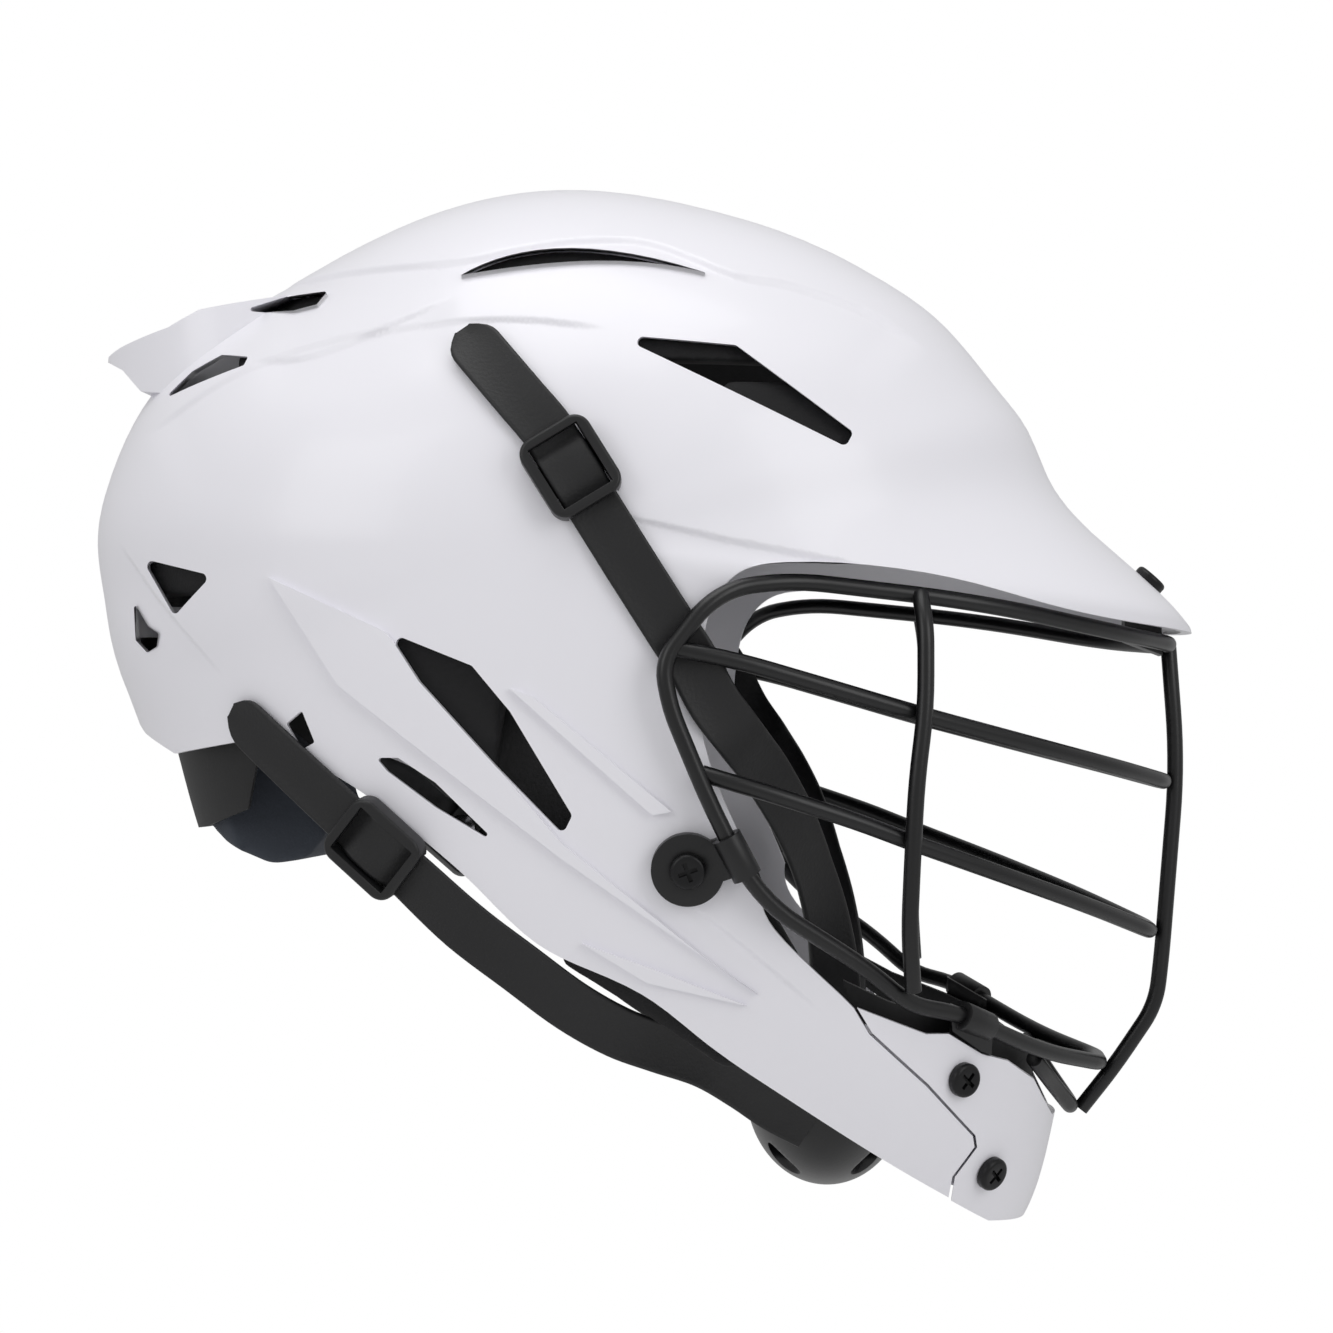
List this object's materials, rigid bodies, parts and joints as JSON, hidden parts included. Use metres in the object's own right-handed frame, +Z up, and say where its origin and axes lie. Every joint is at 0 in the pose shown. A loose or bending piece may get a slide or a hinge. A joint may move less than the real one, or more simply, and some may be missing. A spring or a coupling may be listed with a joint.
{
  "type": "lacrosse helmet",
  "caption": "Vented sports helmet with a wire face mask, a screwed-on chin guard, foam pads, a sliding nape cradle and a chin cup on straps that snap to the shell.",
  "frame": {"origin": "middle of the space for the head, on the mid-plane, level with the tops of the ears", "axes": "+X forward, +Y to the wearer's left, +Z up"},
  "size_m": [0.3099, 0.2232, 0.2891],
  "materials": {
    "white_shell": "gloss moulded",
    "white_guard": "gloss moulded",
    "guard_rubber": "matt",
    "steel_screw": "black oxide",
    "black_wire": "satin powder coat",
    "black_plastic": "satin",
    "liner_foam": "matt foam",
    "guide_plastic": "satin",
    "strap_webbing": "woven",
    "buckle_plastic": "satin",
    "snap_chrome": "bright",
    "cup_plastic": "semi-gloss",
    "cup_foam": "matt foam",
    "cradle_plastic": "satin",
    "nape_foam": "matt foam"
  },
  "bodies": {
    "shell": {"shell": "white_shell", "chin_guard": "white_guard", "chin_guard_pad": "guard_rubber", "chin_guard_screws": "steel_screw", "chin_guard_nuts": "steel_screw", "cage_rim": "black_wire", "cage_upper_bar": "black_wire", "cage_lower_bar": "black_wire", "cage_side_bars": "black_wire", "cage_chin_vee": "black_wire", "cage_centre_bar": "black_wire", "side_clip_right": "black_plastic", "side_clip_left": "black_plastic", "side_clip_screws": "steel_screw", "side_clip_nuts": "steel_screw", "chin_clip_right": "black_plastic", "chin_clip_left": "black_plastic", "visor_clip": "black_plastic", "visor_screw": "steel_screw", "crown_pad": "liner_foam", "brow_pad": "liner_foam", "back_pad": "liner_foam", "temple_pad_right": "liner_foam", "temple_pad_left": "liner_foam", "jaw_pad_right": "liner_foam", "jaw_pad_left": "liner_foam", "cradle_guides": "guide_plastic", "snap_studs": "steel_screw", "strap_upper_right": "strap_webbing", "strap_upper_left": "strap_webbing", "strap_lower_right": "strap_webbing", "strap_lower_left": "strap_webbing"},
    "buckle_upper_right": {"buckle_upper_right": "buckle_plastic", "snap_socket_upper_right": "snap_chrome", "strap_tail_upper_right": "strap_webbing"},
    "buckle_upper_left": {"buckle_upper_left": "buckle_plastic", "snap_socket_upper_left": "snap_chrome", "strap_tail_upper_left": "strap_webbing"},
    "buckle_lower_right": {"buckle_lower_right": "buckle_plastic", "snap_socket_lower_right": "snap_chrome", "strap_tail_lower_right": "strap_webbing"},
    "buckle_lower_left": {"buckle_lower_left": "buckle_plastic", "snap_socket_lower_left": "snap_chrome", "strap_tail_lower_left": "strap_webbing"},
    "chin_cup": {"chin_cup": "cup_plastic", "chin_cup_pad": "cup_foam"},
    "nape_cradle": {"nape_cradle": "cradle_plastic", "nape_pad": "nape_foam"}
  },
  "joints": [
    {"name": "snap_upper_right", "type": "slide", "parent": "shell", "child": "buckle_upper_right", "axis": [0.0453, -0.9898, 0.1352], "range_m": [0, 0.005]},
    {"name": "snap_upper_left", "type": "slide", "parent": "shell", "child": "buckle_upper_left", "axis": [0.0453, 0.9898, 0.1352], "range_m": [0, 0.005]},
    {"name": "snap_lower_right", "type": "slide", "parent": "shell", "child": "buckle_lower_right", "axis": [-0.2898, -0.9332, -0.2127], "range_m": [0, 0.005]},
    {"name": "snap_lower_left", "type": "slide", "parent": "shell", "child": "buckle_lower_left", "axis": [-0.2898, 0.9332, -0.2127], "range_m": [0, 0.005]},
    {"name": "chin_cup_drop", "type": "slide", "parent": "shell", "child": "chin_cup", "axis": [0, 0, -1], "range_m": [0, 0.008]},
    {"name": "nape_cradle_slide", "type": "slide", "parent": "shell", "child": "nape_cradle", "axis": [-0.3202, 0, 0.9474], "range_m": [0, 0.008]}
  ]
}
